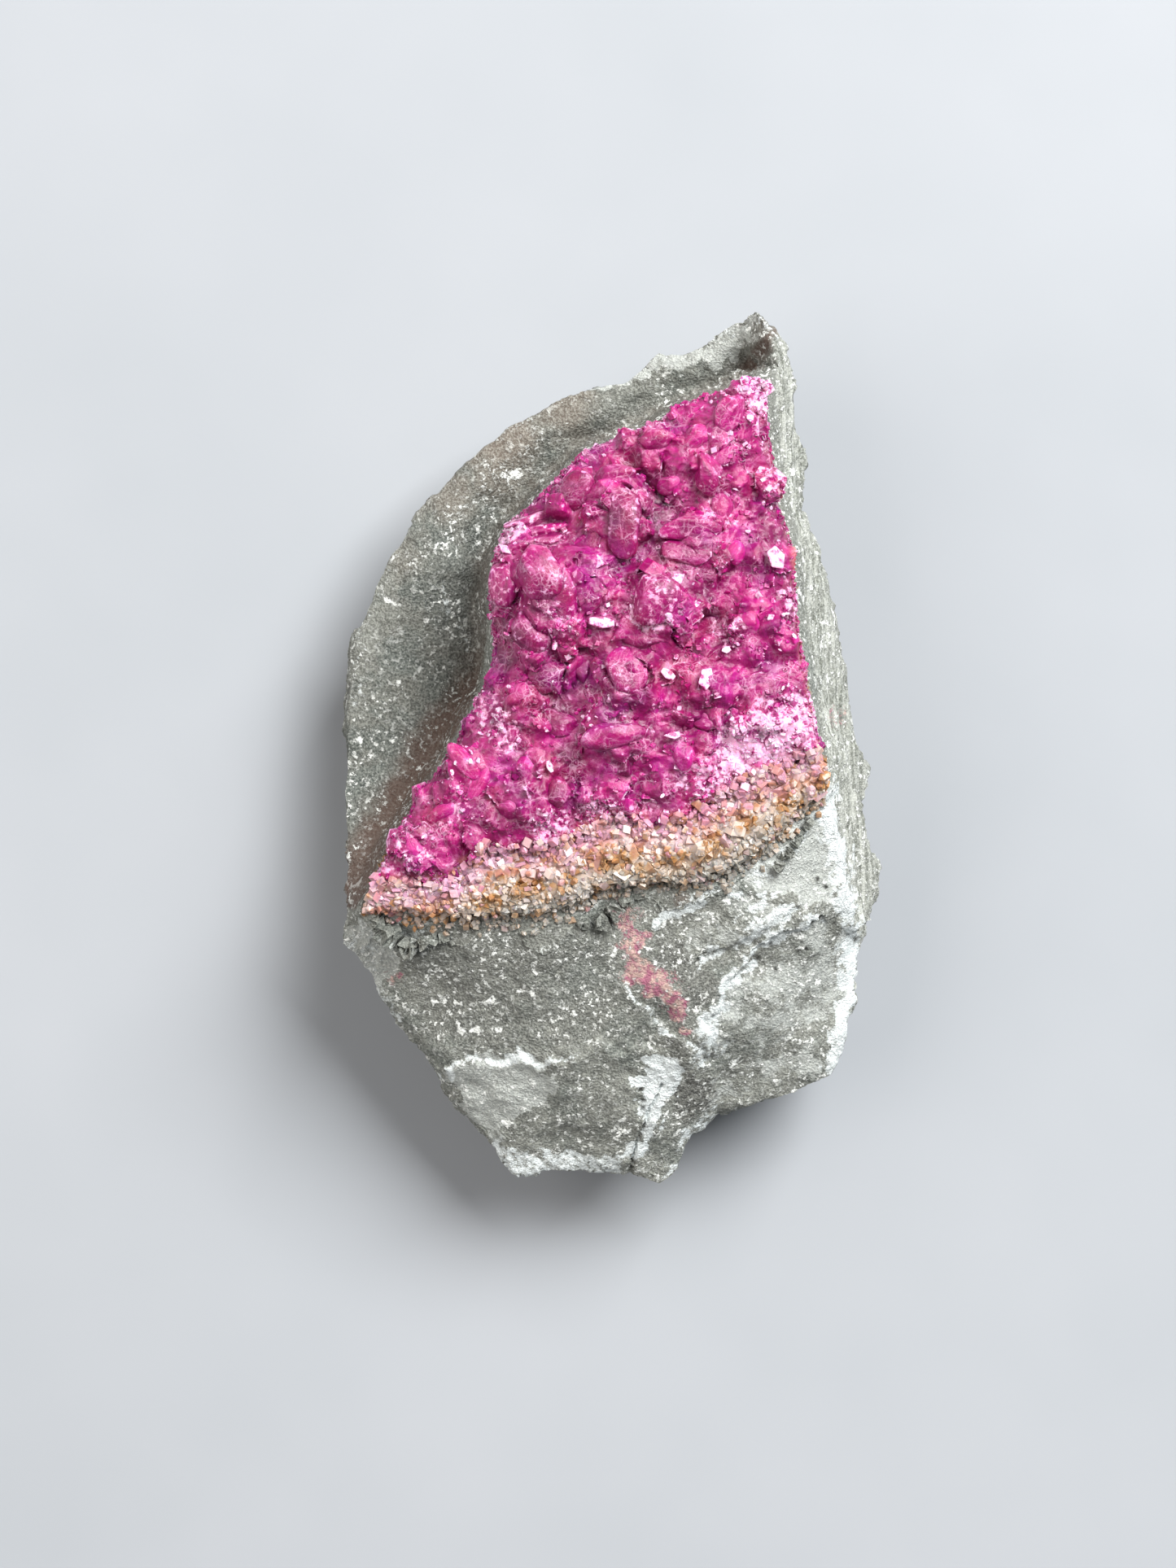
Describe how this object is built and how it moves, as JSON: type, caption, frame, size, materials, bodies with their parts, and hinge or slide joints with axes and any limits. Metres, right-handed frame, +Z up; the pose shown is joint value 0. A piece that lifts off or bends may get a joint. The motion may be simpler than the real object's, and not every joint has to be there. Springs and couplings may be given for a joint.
{
  "type": "cobaltoan calcite specimen",
  "caption": "Hand-sized grey dolomite fragment lying flat, with a raised crust of magenta calcite crystals across its top face and an iron-stained granular band along the crust's lower edge.",
  "frame": {"origin": "on the flat broken face that the stone rests on, below the middle of its outline", "axes": "+Z up, away from the resting face and towards the crystals; +Y along the stone's length, towards its pointed tip; +X to the right of the crystal face"},
  "size_m": [0.0446, 0.0721, 0.0252],
  "materials": {
    "grey_dolomite": "freshly broken, dull and finely granular, dusted white along its edges",
    "cobaltoan_calcite": "flat lustrous crystal faces, vitreous and slightly translucent",
    "iron_stained_calcite": "sugary and granular, with small glints"
  },
  "bodies": {
    "root": {"host_rock": "grey_dolomite", "calcite_crust": "cobaltoan_calcite", "stained_band": "iron_stained_calcite"}
  },
  "joints": []
}
